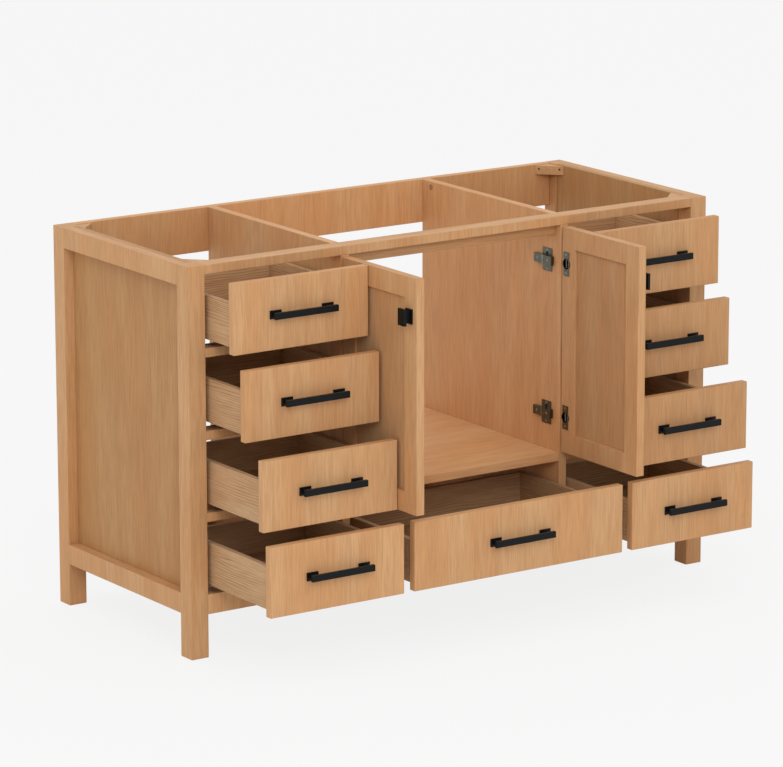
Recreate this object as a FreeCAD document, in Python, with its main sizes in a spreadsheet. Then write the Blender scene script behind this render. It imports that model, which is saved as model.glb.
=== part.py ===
import FreeCAD, Part
import os

import Sketcher

# Bathroom vanity cabinet without its top, in millimetres.
# X runs along the front, Y to the back and Z up. The origin is on the floor, midway between the feet.
# At rest the drawers stand part-way out and both doors are open at a right angle.
# Every size is a cell of the sheet "Sizes"; every other place is an expression of those cells.

SIZES = {
    # overall
    "width": 1372.0,
    "depth": 553.5,
    "height": 853.0,
    "ease": 0.8,
    # posts, rails and panels of the carcass
    "post": 43.0,
    "leg": 95.0,
    "front_rail_height": 20.0,
    "front_rail_depth": 40.0,
    "head_strip_height": 24.0,
    "head_strip_thickness": 20.0,
    "bottom_rail_height": 44.0,
    "side_rail_height": 45.0,
    "side_rail_thickness": 24.5,
    "side_panel_thickness": 14.0,
    "back_rail_height": 100.0,
    "back_rail_thickness": 19.0,
    "partition": 20.0,
    "bank_opening": 343.0,
    "divider": 20.0,
    "bottom_board": 18.0,
    "bottom_board_lift": 8.0,
    # corner blocks
    "front_block_leg": 40.0,
    "front_block_height": 18.0,
    "back_block_leg": 48.0,
    "back_block_height": 20.5,
    "back_block_drop": 2.5,
    "block_screw_drop": 8.0,
    "block_screw_radius": 2.5,
    "block_screw_depth": 16.0,
    # drawers
    "reveal": 3.0,
    "centre_reveal": 3.5,
    "front_thickness": 18.0,
    "box_inset": 6.0,
    "box_lift": 14.0,
    "box_height": 94.0,
    "box_length": 350.0,
    "box_board": 12.0,
    "box_bottom": 6.0,
    "box_bottom_lift": 12.0,
    "box_groove": 6.0,
    "pulled_row_1": 105.7,
    "pulled_row_2": 147.3,
    "pulled_row_3": 214.2,
    "pulled_row_4": 239.7,
    # runners
    "runner_inset": 14.0,
    "channel_width": 24.0,
    "channel_height": 10.0,
    "channel_sheet": 1.5,
    "channel_length": 340.0,
    "track_side_gap": 2.5,
    "track_top_gap": 0.5,
    "track_lift": 8.0,
    "track_plate": 2.0,
    "track_wall_height": 22.0,
    "track_setback": 51.75,
    "track_length": 316.0,
    # drawer pulls
    "pull_length": 158.0,
    "pull_bar_height": 14.0,
    "pull_bar_thickness": 8.0,
    "pull_reach": 24.0,
    "pull_base_width": 28.0,
    "pull_base_height": 18.0,
    "pull_base_thickness": 3.0,
    "pull_stem_width": 12.0,
    "pull_stem_height": 10.0,
    # doors
    "door_thickness": 20.0,
    "door_meeting_gap": 3.0,
    "door_stile": 45.0,
    "door_panel": 8.0,
    "door_groove": 8.5,
    "door_tongue": 8.0,
    "pivot_offset": 12.0,
    "pivot_setback": 8.75,
    # concealed hinges
    "hinge_end_distance": 81.0,
    "cup_radius": 13.0,
    "cup_fit": 0.1,
    "cup_wall": 1.2,
    "cup_depth": 11.5,
    "cup_edge_distance": 15.0,
    "flange_height": 54.0,
    "flange_width": 20.0,
    "flange_thickness": 1.2,
    "arm_height": 20.0,
    "arm_length": 66.0,
    "arm_thickness": 8.5,
    "arm_nose_thickness": 10.5,
    "arm_nose_length": 30.0,
    "arm_door_gap": 0.6,
    "plate_height": 52.0,
    "plate_width": 34.0,
    "plate_thickness": 2.0,
    "plate_setback": 8.0,
    # door knobs
    "knob_base_width": 24.0,
    "knob_base_height": 32.0,
    "knob_base_thickness": 3.0,
    "knob_stem_width": 12.0,
    "knob_stem_height": 24.0,
    "knob_head_width": 24.0,
    "knob_head_height": 36.0,
    "knob_head_thickness": 6.0,
    "knob_reach": 22.0,
    "knob_edge_distance": 25.0,
    "knob_drop": 82.5,
}

doc = FreeCAD.newDocument("vanity_cabinet")
sheet = doc.addObject("Spreadsheet::Sheet", "Sizes")
for line, (alias, millimetres) in enumerate(SIZES.items(), start=1):
    sheet.set(f"A{line}", alias)
    sheet.set(f"B{line}", str(millimetres))
    sheet.setAlias(f"B{line}", alias)
doc.recompute()


def size(alias):
    """The expression that reads one cell of the sheet."""
    return f"Sizes.{alias}"


def number(expression):
    """The present value of an expression."""
    return float(sheet.evalExpression(expression))


ROWS = (1, 2, 3, 4)
LOWEST_ROW = ROWS[-1]
# The doors reach down to the lower edge of this row of drawers, and the compartment's floor is under it.
DOOR_ROW = 3

# Places that several pieces share, as expressions.
HALF_WIDTH = "(Sizes.width / 2)"
FRONT_Y = "(-Sizes.depth / 2)"
BACK_Y = "(Sizes.depth / 2)"
POST_INNER_X = "(Sizes.width / 2 - Sizes.post)"
SIDE_LENGTH = "(Sizes.depth - 2 * Sizes.post)"
SIDE_Y = "(-Sizes.depth / 2 + Sizes.post)"
PANEL_INNER_X = "(Sizes.width / 2 - Sizes.side_rail_thickness - Sizes.side_panel_thickness)"
BANK_INNER_X = "(Sizes.width / 2 - Sizes.post - Sizes.bank_opening)"
CENTRE_X = "(Sizes.width / 2 - Sizes.post - Sizes.bank_opening - Sizes.partition)"
RAIL_BACK_Y = "(-Sizes.depth / 2 + Sizes.front_rail_depth)"
BACK_RAIL_Y = "(Sizes.depth / 2 - Sizes.back_rail_thickness)"
OPENING_Z = "(Sizes.leg + Sizes.bottom_rail_height)"
FRONT_RAIL_Z = "(Sizes.height - Sizes.front_rail_height)"
FRONT_HEIGHT = (
    f"(({FRONT_RAIL_Z} - {OPENING_Z} - {len(ROWS) - 1} * Sizes.divider) / {len(ROWS)}"
    " - 2 * Sizes.reveal)"
)
ROW_PITCH = f"({FRONT_HEIGHT} + 2 * Sizes.reveal + Sizes.divider)"
BOARD_TOP_Z = "(Sizes.leg + Sizes.bottom_board_lift + Sizes.bottom_board)"
POST_STEP = "(Sizes.post - Sizes.side_rail_thickness - Sizes.side_panel_thickness)"
CENTRE_HALF_FRONT = f"({CENTRE_X} - Sizes.centre_reveal)"
BANK_FRONT_WIDTH = "(Sizes.bank_opening - 2 * Sizes.reveal)"


def row_z(row):
    """Lower edge of the drawer fronts in a row, counted from the top."""
    return f"({OPENING_Z} + Sizes.reveal + {LOWEST_ROW - row} * {ROW_PITCH})"


def divider_z(row):
    """Lower face of the rail under a row of drawers."""
    return f"({row_z(row)} - Sizes.reveal - Sizes.divider)"


def place(thing, x, y, z):
    """Bind an object's position to three expressions."""
    for axis, expression in zip("xyz", (x, y, z)):
        thing.setExpression(f"Placement.Base.{axis}", str(expression))
    return thing


def outline(body, name, role, points, lift="0"):
    """A closed outline of straight lines on an origin plane; every corner is bound to two expressions."""
    sketch = body.newObject("Sketcher::SketchObject", name)
    plane = [item for item in body.Origin.OriginFeatures if item.Role == role][0]
    sketch.AttachmentSupport = [(plane, "")]
    sketch.MapMode = "FlatFace"
    if lift != "0":
        sketch.setExpression("AttachmentOffset.Base.z", lift)
    corners = [FreeCAD.Vector(number(u), number(v), 0) for u, v in points]
    count = len(corners)
    for index, corner in enumerate(corners):
        sketch.addGeometry(Part.LineSegment(corner, corners[(index + 1) % count]))
    for index in range(count):
        sketch.addConstraint(Sketcher.Constraint("Coincident", index, 2, (index + 1) % count, 1))
    for index, (u, v) in enumerate(points):
        for kind, axis, expression in (("DistanceX", -2, u), ("DistanceY", -1, v)):
            if expression == "0":
                sketch.addConstraint(Sketcher.Constraint("PointOnObject", index, 1, axis))
                continue
            value = number(expression)
            distance = sketch.addConstraint(Sketcher.Constraint(kind, -1, 1, index, 1, value))
            sketch.setExpression(f"Constraints[{distance}]", expression)
    sketch.Visibility = False
    return sketch


def pad(body, name, sketch, length, reversed_way=False):
    """Pad a sketch by an expression."""
    feature = body.newObject("PartDesign::Pad", name)
    feature.Profile = sketch
    feature.Reversed = reversed_way
    feature.setExpression("Length", length)
    return feature


def ease_edges(body, feature, name, chamfer="Sizes.ease"):
    """Break every edge of a padded piece with a small chamfer."""
    doc.recompute([feature])
    edges = [f"Edge{index + 1}" for index in range(len(feature.Shape.Edges))]
    eased = body.newObject("PartDesign::Chamfer", name)
    eased.Base = (feature, edges)
    eased.setExpression("Size", chamfer)
    body.Tip = eased
    return eased


def rectangle(u, v):
    """Corner points of a rectangle that starts at the sketch's origin."""
    return [("0", "0"), (u, "0"), (u, v), ("0", v)]


def board(name, length, width, height, corner, chamfer="Sizes.ease"):
    """A plain board along the axes with eased edges; its low corner is at three expressions."""
    body = doc.addObject("PartDesign::Body", name)
    sketch = outline(body, f"{name}_outline", "XY_Plane", rectangle(length, width))
    feature = pad(body, f"{name}_pad", sketch, height)
    ease_edges(body, feature, f"{name}_edges", chamfer)
    return place(body, *corner)


def section(name, points, length, corner):
    """A piece of constant section in the XZ plane that runs back along Y."""
    body = doc.addObject("PartDesign::Body", name)
    sketch = outline(body, f"{name}_outline", "XZ_Plane", points)
    pad(body, f"{name}_pad", sketch, length, reversed_way=True)
    return place(body, *corner)


def prism(name, points, height, corner):
    """A piece of constant section in the XY plane that runs up along Z."""
    body = doc.addObject("PartDesign::Body", name)
    sketch = outline(body, f"{name}_outline", "XY_Plane", points)
    pad(body, f"{name}_pad", sketch, height)
    return place(body, *corner)


def added_box(body, name, length, width, height, corner):
    """Add a block to a body."""
    block = body.newObject("PartDesign::AdditiveBox", name)
    for prop, expression in zip(("Length", "Width", "Height"), (length, width, height)):
        block.setExpression(prop, expression)
    return place(block, *corner)


def group(name, pieces):
    """Several separate solids that share one node."""
    together = doc.addObject("Part::Compound", name)
    together.Links = pieces
    return together


def mirrored(name, source):
    """The same piece on the other side of the plane X = 0."""
    twin = doc.addObject("Part::Mirroring", name)
    twin.Source = source
    twin.Normal = FreeCAD.Vector(1, 0, 0)
    return twin


def both_sides(name, pieces):
    """A node of some left-hand solids and their mirror images."""
    twins = [mirrored(f"{piece.Name}_twin", piece) for piece in pieces]
    return group(name, pieces + twins)


nodes = {}


def keep(name, thing):
    """Give a finished piece its node name."""
    thing.Label = name
    nodes[name] = thing
    return thing


# Posts: square legs that run from the floor to the rim.
for end, y in (("front", FRONT_Y), ("back", f"({BACK_Y} - Sizes.post)")):
    for side, x in (("left", f"(-{HALF_WIDTH})"), ("right", POST_INNER_X)):
        name = f"post_{end}_{side}"
        keep(name, board(name, size("post"), size("post"), size("height"), (x, y, "0")))

# Front rails between the posts.
RAIL_LENGTH = f"(2 * {POST_INNER_X})"
front_rails = (
    ("front_top_rail", size("front_rail_height"), FRONT_RAIL_Z),
    ("front_bottom_rail", size("bottom_rail_height"), size("leg")),
)
for name, height, z in front_rails:
    corner = (f"(-{POST_INNER_X})", FRONT_Y, z)
    keep(name, board(name, RAIL_LENGTH, size("front_rail_depth"), height, corner))

# Head strip over the doors: it stands on edge under the top rail, at its back, between the partitions.
HEAD_STRIP_CORNER = (
    f"(-{CENTRE_X})",
    f"({FRONT_Y} + Sizes.front_rail_depth - Sizes.head_strip_thickness)",
    f"({FRONT_RAIL_Z} - Sizes.head_strip_height)",
)
keep(
    "door_head_strip",
    board(
        "door_head_strip",
        f"(2 * {CENTRE_X})",
        size("head_strip_thickness"),
        size("head_strip_height"),
        HEAD_STRIP_CORNER,
    ),
)

# Back rails: two wide boards with the back open between them.
back_rails = [
    board(
        f"back_rail_{level}",
        RAIL_LENGTH,
        size("back_rail_thickness"),
        size("back_rail_height"),
        (f"(-{POST_INNER_X})", BACK_RAIL_Y, z),
    )
    for level, z in (("top", "(Sizes.height - Sizes.back_rail_height)"), ("bottom", size("leg")))
]
keep("back_rails", group("back_rails", back_rails))

# Sides: a full-height panel behind two applied rails, which leave the recess that shows outside.
side_panel = board(
    "side_panel",
    size("side_panel_thickness"),
    SIDE_LENGTH,
    "(Sizes.height - Sizes.leg)",
    ("(-Sizes.width / 2 + Sizes.side_rail_thickness)", SIDE_Y, size("leg")),
)
keep("side_panels", both_sides("side_panels", [side_panel]))
side_rails = [
    board(
        f"side_rail_{level}",
        size("side_rail_thickness"),
        SIDE_LENGTH,
        size("side_rail_height"),
        (f"(-{HALF_WIDTH})", SIDE_Y, z),
    )
    for level, z in (("top", "(Sizes.height - Sizes.side_rail_height)"), ("bottom", size("leg")))
]
keep("side_rails", both_sides("side_rails", side_rails))

# Bottom board, notched round the four posts.
NOTCH_LOW = "(Sizes.post - Sizes.front_rail_depth)"
NOTCH_HIGH = f"({BACK_Y} - Sizes.post - {RAIL_BACK_Y})"
BOARD_LENGTH = f"(2 * {PANEL_INNER_X})"
BOARD_WIDTH = f"({BACK_RAIL_Y} - {RAIL_BACK_Y})"
bottom_points = [
    (POST_STEP, "0"),
    (f"({BOARD_LENGTH} - {POST_STEP})", "0"),
    (f"({BOARD_LENGTH} - {POST_STEP})", NOTCH_LOW),
    (BOARD_LENGTH, NOTCH_LOW),
    (BOARD_LENGTH, NOTCH_HIGH),
    (f"({BOARD_LENGTH} - {POST_STEP})", NOTCH_HIGH),
    (f"({BOARD_LENGTH} - {POST_STEP})", BOARD_WIDTH),
    (POST_STEP, BOARD_WIDTH),
    (POST_STEP, NOTCH_HIGH),
    ("0", NOTCH_HIGH),
    ("0", NOTCH_LOW),
    (POST_STEP, NOTCH_LOW),
]
bottom_corner = (f"(-{PANEL_INNER_X})", RAIL_BACK_Y, "(Sizes.leg + Sizes.bottom_board_lift)")
keep("bottom_board", prism("bottom_board", bottom_points, size("bottom_board"), bottom_corner))

# Partitions: notched over the bottom rail and under the top rail, so their front edges are flush.
RAIL_DEPTH = size("front_rail_depth")
PARTITION_LENGTH = f"({BACK_RAIL_Y} - {FRONT_Y})"
PARTITION_HEIGHT = f"(Sizes.height - {BOARD_TOP_Z})"
partition_points = [
    (RAIL_DEPTH, "0"),
    (PARTITION_LENGTH, "0"),
    (PARTITION_LENGTH, PARTITION_HEIGHT),
    (RAIL_DEPTH, PARTITION_HEIGHT),
    (RAIL_DEPTH, f"({PARTITION_HEIGHT} - Sizes.front_rail_height)"),
    ("0", f"({PARTITION_HEIGHT} - Sizes.front_rail_height)"),
    ("0", f"({OPENING_Z} - {BOARD_TOP_Z})"),
    (RAIL_DEPTH, f"({OPENING_Z} - {BOARD_TOP_Z})"),
]
partition = doc.addObject("PartDesign::Body", "partition")
partition_outline = outline(partition, "partition_outline", "YZ_Plane", partition_points)
partition_pad = pad(partition, "partition_pad", partition_outline, size("partition"))
ease_edges(partition, partition_pad, "partition_edges")
place(partition, f"(-{BANK_INNER_X})", FRONT_Y, BOARD_TOP_Z)
keep("partitions", both_sides("partitions", [partition]))

# Floor of the middle compartment, over the centre drawer.
floor_corner = (f"(-{CENTRE_X})", FRONT_Y, divider_z(DOOR_ROW))
keep(
    "compartment_floor",
    board("compartment_floor", f"(2 * {CENTRE_X})", PARTITION_LENGTH, size("divider"), floor_corner),
)

# Divider rails between the drawer fronts of each bank.
dividers = [
    board(
        f"divider_rail_{row}",
        size("bank_opening"),
        RAIL_DEPTH,
        size("divider"),
        (f"(-{POST_INNER_X})", FRONT_Y, divider_z(row)),
    )
    for row in ROWS[:-1]
]
keep("divider_rails", both_sides("divider_rails", dividers))


# Corner blocks: five-sided plates that fit round a post, each with two screw holes in its long face.
# The long face lies at 45 degrees; the holes are this share of its length to each side of its middle.
SCREW_SPREAD = 0.36
HALF_TURN_TO_FACE = 45.0
LYING = 90.0


def corner_block(name, leg, height, post_reach, y, z, back):
    """One left-hand corner block; the back one is the front one turned over in the plan."""
    way = "-" if back else ""
    points = [
        (POST_STEP, "0"),
        (leg, "0"),
        ("0", f"({way}{leg})"),
        ("0", f"({way}{post_reach})"),
        (POST_STEP, f"({way}{post_reach})"),
    ]
    block = prism(f"{name}_plate", points, height, (f"(-{PANEL_INNER_X})", y, z))
    holes = []
    shares = (1 / 2 - SCREW_SPREAD, 1 / 2 + SCREW_SPREAD)
    for index, share in enumerate(shares, start=1):
        hole = doc.addObject("Part::Cylinder", f"{name}_hole_{index}")
        hole.setExpression("Radius", size("block_screw_radius"))
        hole.setExpression("Height", "(2 * Sizes.block_screw_depth)")
        yaw = -HALF_TURN_TO_FACE if back else HALF_TURN_TO_FACE
        turn = FreeCAD.Rotation(FreeCAD.Vector(0, 0, 1), yaw)
        tip = FreeCAD.Rotation(FreeCAD.Vector(0, 1, 0), LYING)
        hole.Placement.Rotation = turn.multiply(tip)
        inset = "Sizes.block_screw_depth / sqrt(2)"
        place(
            hole,
            f"(-{PANEL_INNER_X} + {share} * {leg} - {inset})",
            f"({y} {way or '+'} ({1 - share} * {leg} - {inset}))",
            f"({z} + {height} - Sizes.block_screw_drop)",
        )
        holes.append(hole)
    drilled = holes[0]
    for index, hole in enumerate(holes, start=1):
        drilled = doc.addObject("Part::Cut", f"{name}_drilled_{index}")
        drilled.Base = block
        drilled.Tool = hole
        block = drilled
    return block


front_block = corner_block(
    "front_block",
    size("front_block_leg"),
    size("front_block_height"),
    NOTCH_LOW,
    RAIL_BACK_Y,
    "(Sizes.height - Sizes.front_block_height)",
    back=False,
)
back_block = corner_block(
    "back_block",
    size("back_block_leg"),
    size("back_block_height"),
    "(Sizes.post - Sizes.back_rail_thickness)",
    BACK_RAIL_Y,
    "(Sizes.height - Sizes.back_block_drop - Sizes.back_block_height)",
    back=True,
)
keep("corner_blocks", both_sides("corner_blocks", [front_block, back_block]))

# Cabinet halves of the drawer runners: an angle on the wall that carries a track under the drawer.
TRACK_Y = f"({FRONT_Y} + Sizes.track_setback)"
TRACK_WIDTH = "(Sizes.channel_width - 2 * Sizes.channel_sheet - 2 * Sizes.track_side_gap)"
TRACK_TOP = (
    "(Sizes.box_lift + Sizes.box_bottom_lift - Sizes.channel_sheet"
    " - Sizes.track_top_gap - Sizes.track_lift)"
)


def cabinet_runner(name, wall_gap, wall_x, z):
    """One left-hand cabinet runner; wall_gap is from the wall to the drawer box."""
    inner = f"({wall_gap} + Sizes.runner_inset + Sizes.channel_sheet + Sizes.track_side_gap)"
    plate = size("track_plate")
    points = [
        ("0", "0"),
        (f"({inner} + {TRACK_WIDTH})", "0"),
        (f"({inner} + {TRACK_WIDTH})", TRACK_TOP),
        (inner, TRACK_TOP),
        (inner, plate),
        (plate, plate),
        (plate, size("track_wall_height")),
        ("0", size("track_wall_height")),
    ]
    corner = (wall_x, TRACK_Y, f"({z} + Sizes.track_lift)")
    return section(name, points, size("track_length"), corner)


OUTER_GAP = f"({PANEL_INNER_X} - {POST_INNER_X} + Sizes.reveal + Sizes.box_inset)"
INNER_GAP = "(Sizes.reveal + Sizes.box_inset)"
CENTRE_GAP = "(Sizes.centre_reveal + Sizes.box_inset)"
cabinet_runners = [
    cabinet_runner("cabinet_runner_centre", CENTRE_GAP, f"(-{CENTRE_X})", row_z(LOWEST_ROW))
]
for row in ROWS:
    outer = cabinet_runner(f"cabinet_runner_outer_{row}", OUTER_GAP, f"(-{PANEL_INNER_X})", row_z(row))
    inner = cabinet_runner(f"cabinet_runner_inner_{row}", INNER_GAP, BANK_INNER_X, row_z(row))
    cabinet_runners += [outer, inner]
keep("cabinet_runners", both_sides("cabinet_runners", cabinet_runners))


# Drawers. Each piece is placed from the drawer's own corner: the front's lower left edge at its face.
def drawer_front(name, width, corner):
    """The applied front."""
    return board(name, width, size("front_thickness"), FRONT_HEIGHT, corner)


def drawer_box(name, width, corner):
    """Two grooved sides, an inner front, a back and a bottom that stands in the grooves."""
    board_t = size("box_board")
    groove = size("box_groove")
    height = size("box_height")
    low = size("box_bottom_lift")
    high = "(Sizes.box_bottom_lift + Sizes.box_bottom)"
    box_width = f"({width} - 2 * Sizes.box_inset)"
    lip = "(Sizes.box_board - Sizes.box_groove)"
    left_points = [
        ("0", "0"), (board_t, "0"), (board_t, low), (lip, low),
        (lip, high), (board_t, high), (board_t, height), ("0", height),
    ]
    right_points = [
        ("0", "0"), (board_t, "0"), (board_t, height), ("0", height),
        ("0", high), (groove, high), (groove, low), ("0", low),
    ]
    x = size("box_inset")
    y = size("front_thickness")
    z = size("box_lift")
    length = size("box_length")
    left = section(f"{name}_side_left", left_points, length, (x, y, z))
    right_x = f"({width} - Sizes.box_inset - Sizes.box_board)"
    right = section(f"{name}_side_right", right_points, length, (right_x, y, z))
    cross = f"({box_width} - 2 * Sizes.box_board)"
    cross_x = "(Sizes.box_inset + Sizes.box_board)"
    cross_z = f"({z} + {high})"
    cross_height = f"({height} - {high})"
    inner_front = board(
        f"{name}_inner_front", cross, board_t, cross_height, (cross_x, y, cross_z)
    )
    back_y = f"({y} + {length} - {board_t})"
    back = board(f"{name}_back", cross, board_t, cross_height, (cross_x, back_y, cross_z))
    bottom = board(
        f"{name}_bottom",
        f"({cross} + 2 * Sizes.box_groove)",
        length,
        size("box_bottom"),
        ("(Sizes.box_inset + Sizes.box_board - Sizes.box_groove)", y, f"({z} + {low})"),
        "Sizes.ease / 4",
    )
    return place(group(name, [left, right, inner_front, back, bottom]), *corner)


def drawer_runners(name, width, corner):
    """The drawer's half of its two runners: channels that ride over the cabinet's tracks."""
    wide = size("channel_width")
    high = size("channel_height")
    sheet_t = size("channel_sheet")
    far = f"({wide} - {sheet_t})"
    under = f"({high} - {sheet_t})"
    points = [
        ("0", "0"), (sheet_t, "0"), (sheet_t, under), (far, under),
        (far, "0"), (wide, "0"), (wide, high), ("0", high),
    ]
    z = f"(Sizes.box_lift + Sizes.box_bottom_lift - {high})"
    left_x = "(Sizes.box_inset + Sizes.runner_inset)"
    right_x = f"({width} - {left_x} - {wide})"
    pieces = [
        section(f"{name}_{side}", points, size("channel_length"), (x, size("front_thickness"), z))
        for side, x in (("left", left_x), ("right", right_x))
    ]
    return place(group(name, pieces), *corner)


def drawer_pull(name, width, corner):
    """A flat bar on two stems, each with its base plate against the front."""
    reach = size("pull_reach")
    bar_y = f"(-{reach})"
    bar = board(
        f"{name}_bar",
        size("pull_length"),
        size("pull_bar_thickness"),
        size("pull_bar_height"),
        ("(-Sizes.pull_length / 2)", bar_y, "(-Sizes.pull_bar_height / 2)"),
    )
    legs = []
    for side, way in (("left", "-"), ("right", "")):
        leg = doc.addObject("PartDesign::Body", f"{name}_leg_{side}")
        middle = f"({way}(Sizes.pull_length / 2 - Sizes.pull_base_width / 2))"
        added_box(
            leg,
            f"{name}_base_{side}",
            size("pull_base_width"),
            size("pull_base_thickness"),
            size("pull_base_height"),
            (
                f"({middle} - Sizes.pull_base_width / 2)",
                "(-Sizes.pull_base_thickness)",
                "(-Sizes.pull_base_height / 2)",
            ),
        )
        stem_length = f"({reach} - Sizes.pull_bar_thickness - Sizes.pull_base_thickness)"
        added_box(
            leg,
            f"{name}_stem_{side}",
            size("pull_stem_width"),
            stem_length,
            size("pull_stem_height"),
            (
                f"({middle} - Sizes.pull_stem_width / 2)",
                f"(-{reach} + Sizes.pull_bar_thickness)",
                "(-Sizes.pull_stem_height / 2)",
            ),
        )
        legs.append(leg)
    x, y, z = corner
    centre = (f"({x} + {width} / 2)", y, f"({z} + {FRONT_HEIGHT} / 2)")
    return place(group(name, [bar] + legs), *centre)


def drawer(name, width, x, row):
    """All the pieces of one drawer at its resting place."""
    corner = (x, f"({FRONT_Y} - Sizes.pulled_row_{row})", row_z(row))
    keep(f"{name}_front", drawer_front(f"{name}_front", width, corner))
    keep(f"{name}_box", drawer_box(f"{name}_box", width, corner))
    keep(f"{name}_runners", drawer_runners(f"{name}_runners", width, corner))
    keep(f"{name}_pull", drawer_pull(f"{name}_pull", width, corner))


for row in ROWS:
    drawer(f"drawer_left_{row}", BANK_FRONT_WIDTH, f"(-{POST_INNER_X} + Sizes.reveal)", row)
    drawer(f"drawer_right_{row}", BANK_FRONT_WIDTH, f"({BANK_INNER_X} + Sizes.reveal)", row)
drawer("drawer_centre", f"(2 * {CENTRE_HALF_FRONT})", f"(-{CENTRE_HALF_FRONT})", LOWEST_ROW)

# Doors, drawn open. The left door turns on a pivot inside the partition's edge.
DOOR_Z = row_z(DOOR_ROW)
DOOR_HEIGHT = f"({FRONT_RAIL_Z} - Sizes.reveal - {DOOR_Z})"
DOOR_WIDTH = f"({CENTRE_HALF_FRONT} - Sizes.door_meeting_gap / 2)"
PIVOT_X = f"({CENTRE_X} + Sizes.pivot_offset)"
PIVOT_Y = f"({FRONT_Y} + Sizes.pivot_setback)"
DOOR_X = f"(-{PIVOT_X} - Sizes.pivot_setback)"
HINGE_EDGE_Y = f"({PIVOT_Y} + {CENTRE_HALF_FRONT} - {PIVOT_X})"
DOOR_Y = f"({HINGE_EDGE_Y} - {DOOR_WIDTH})"
STILE = size("door_stile")
THICK = size("door_thickness")
GROOVE_LOW = "(Sizes.door_thickness / 2 - Sizes.door_panel / 2)"
GROOVE_HIGH = "(Sizes.door_thickness / 2 + Sizes.door_panel / 2)"
GROOVE_FLOOR = "(Sizes.door_stile - Sizes.door_groove)"
inner_groove = [
    ("0", "0"), (THICK, "0"), (THICK, STILE), (GROOVE_HIGH, STILE),
    (GROOVE_HIGH, GROOVE_FLOOR), (GROOVE_LOW, GROOVE_FLOOR), (GROOVE_LOW, STILE), ("0", STILE),
]
outer_groove = [
    ("0", "0"), (GROOVE_LOW, "0"), (GROOVE_LOW, size("door_groove")),
    (GROOVE_HIGH, size("door_groove")), (GROOVE_HIGH, "0"), (THICK, "0"), (THICK, STILE), ("0", STILE),
]
free_stile = prism("door_free_stile", inner_groove, DOOR_HEIGHT, (DOOR_X, DOOR_Y, DOOR_Z))
hinge_stile = prism(
    "door_hinge_stile", outer_groove, DOOR_HEIGHT, (DOOR_X, f"({HINGE_EDGE_Y} - {STILE})", DOOR_Z)
)

# Cup bores in the hinge stile.
CUP_Y = f"({HINGE_EDGE_Y} - Sizes.cup_edge_distance)"
INNER_FACE_X = f"({DOOR_X} + {THICK})"
cup_heights = (
    f"({DOOR_Z} + Sizes.hinge_end_distance)",
    f"({DOOR_Z} + {DOOR_HEIGHT} - Sizes.hinge_end_distance)",
)


def round_along_x(name, radius, length, x, y, z):
    """A cylinder that lies along X."""
    rod = doc.addObject("Part::Cylinder", name)
    rod.setExpression("Radius", radius)
    rod.setExpression("Height", length)
    rod.Placement.Rotation = FreeCAD.Rotation(FreeCAD.Vector(0, 1, 0), LYING)
    return place(rod, x, y, z)


bored_stile = hinge_stile
for index, z in enumerate(cup_heights, start=1):
    bore = round_along_x(
        f"cup_bore_{index}",
        "(Sizes.cup_radius + Sizes.cup_fit)",
        "(2 * Sizes.cup_depth + 2 * Sizes.cup_fit)",
        f"({INNER_FACE_X} - Sizes.cup_depth - Sizes.cup_fit)",
        CUP_Y,
        z,
    )
    cut = doc.addObject("Part::Cut", f"door_hinge_stile_bored_{index}")
    cut.Base = bored_stile
    cut.Tool = bore
    bored_stile = cut

RAIL_SPAN = f"({DOOR_WIDTH} - 2 * {STILE})"
door_rails = []
for level, points, z in (
    ("bottom", inner_groove, DOOR_Z),
    ("top", outer_groove, f"({DOOR_Z} + {DOOR_HEIGHT} - {STILE})"),
):
    rail = section(f"door_rail_{level}", points, RAIL_SPAN, (DOOR_X, f"({DOOR_Y} + {STILE})", z))
    tongue_z = "0" if level == "bottom" else size("door_groove")
    for end, y in (("free", "(-Sizes.door_tongue)"), ("hinge", RAIL_SPAN)):
        added_box(
            rail,
            f"door_tongue_{level}_{end}",
            size("door_panel"),
            size("door_tongue"),
            GROOVE_FLOOR,
            (GROOVE_LOW, y, tongue_z),
        )
    door_rails.append(rail)

door_panel = board(
    "door_panel_board",
    size("door_panel"),
    f"({RAIL_SPAN} + 2 * Sizes.door_tongue)",
    f"({DOOR_HEIGHT} - 2 * {STILE} + 2 * Sizes.door_tongue)",
    (
        f"({DOOR_X} + {GROOVE_LOW})",
        f"({DOOR_Y} + {STILE} - Sizes.door_tongue)",
        f"({DOOR_Z} + {STILE} - Sizes.door_tongue)",
    ),
    "Sizes.ease / 4",
)
door_frame = group("door_left_frame", [free_stile, bored_stile] + door_rails)


# Hinge cups: a flange on the door's inner face and a cup sunk in the bore.
def hinge_cup(index, z):
    """One cup with its flange."""
    flange = doc.addObject("Part::Box", f"cup_flange_{index}")
    flange.setExpression("Length", size("flange_thickness"))
    flange.setExpression("Width", size("flange_width"))
    flange.setExpression("Height", size("flange_height"))
    flange_y = f"({CUP_Y} - Sizes.flange_width / 2)"
    place(flange, INNER_FACE_X, flange_y, f"({z} - Sizes.flange_height / 2)")
    outer_x = f"({INNER_FACE_X} - Sizes.cup_depth)"
    deep = "(Sizes.cup_depth + Sizes.flange_thickness)"
    can = round_along_x(f"cup_can_{index}", size("cup_radius"), deep, outer_x, CUP_Y, z)
    solid = doc.addObject("Part::Fuse", f"cup_solid_{index}")
    solid.Base = flange
    solid.Tool = can
    hollow = round_along_x(
        f"cup_hollow_{index}",
        "(Sizes.cup_radius - Sizes.cup_wall)",
        deep,
        f"({outer_x} + Sizes.cup_wall)",
        CUP_Y,
        z,
    )
    cup = doc.addObject("Part::Cut", f"hinge_cup_{index}")
    cup.Base = solid
    cup.Tool = hollow
    return cup


cups = [hinge_cup(index, z) for index, z in enumerate(cup_heights, start=1)]
hinge_cups = group("door_left_hinge_cups", cups)

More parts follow.
